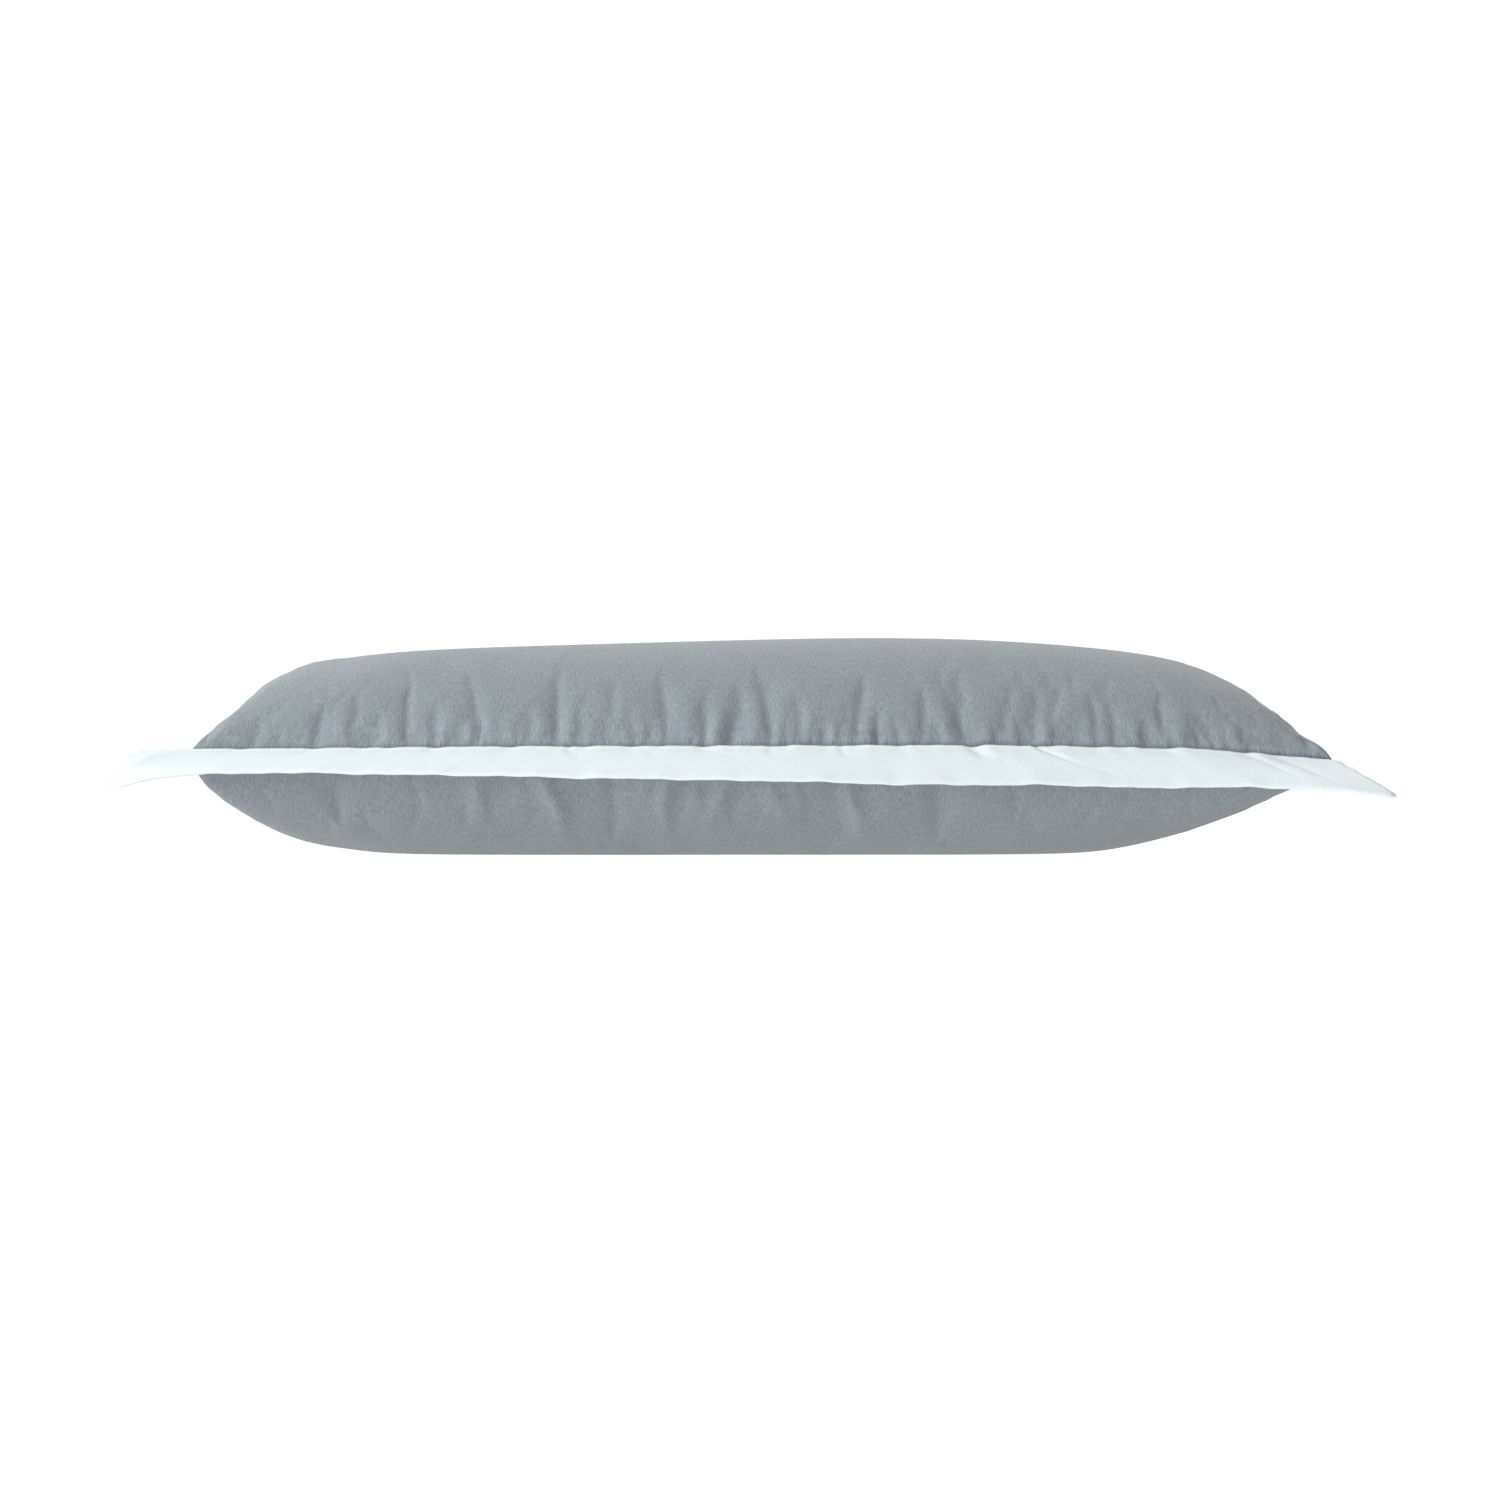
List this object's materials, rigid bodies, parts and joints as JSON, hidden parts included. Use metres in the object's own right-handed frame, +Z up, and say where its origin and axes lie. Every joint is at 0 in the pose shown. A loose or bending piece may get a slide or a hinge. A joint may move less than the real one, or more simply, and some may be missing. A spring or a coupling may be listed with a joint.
{
  "type": "lumbar pillow",
  "caption": "Oblong filled cushion with drawn-in sides and a mitred flat flange sewn round its seam.",
  "frame": {"origin": "on the floor, under the middle of the cushion as it lies on its back", "axes": "+X along the length, +Z up through the upper panel, -Y towards the side that the picture shows"},
  "size_m": [0.5876, 0.3541, 0.1018],
  "materials": {
    "cushion_cloth": "matt plain weave, cotton and linen look, grey with a slight slub",
    "flange_cloth": "matt plain weave, white, folded double with soft creases"
  },
  "bodies": {
    "root": {"cushion": "cushion_cloth", "flange_front": "flange_cloth", "flange_back": "flange_cloth", "flange_left": "flange_cloth", "flange_right": "flange_cloth"}
  },
  "joints": []
}
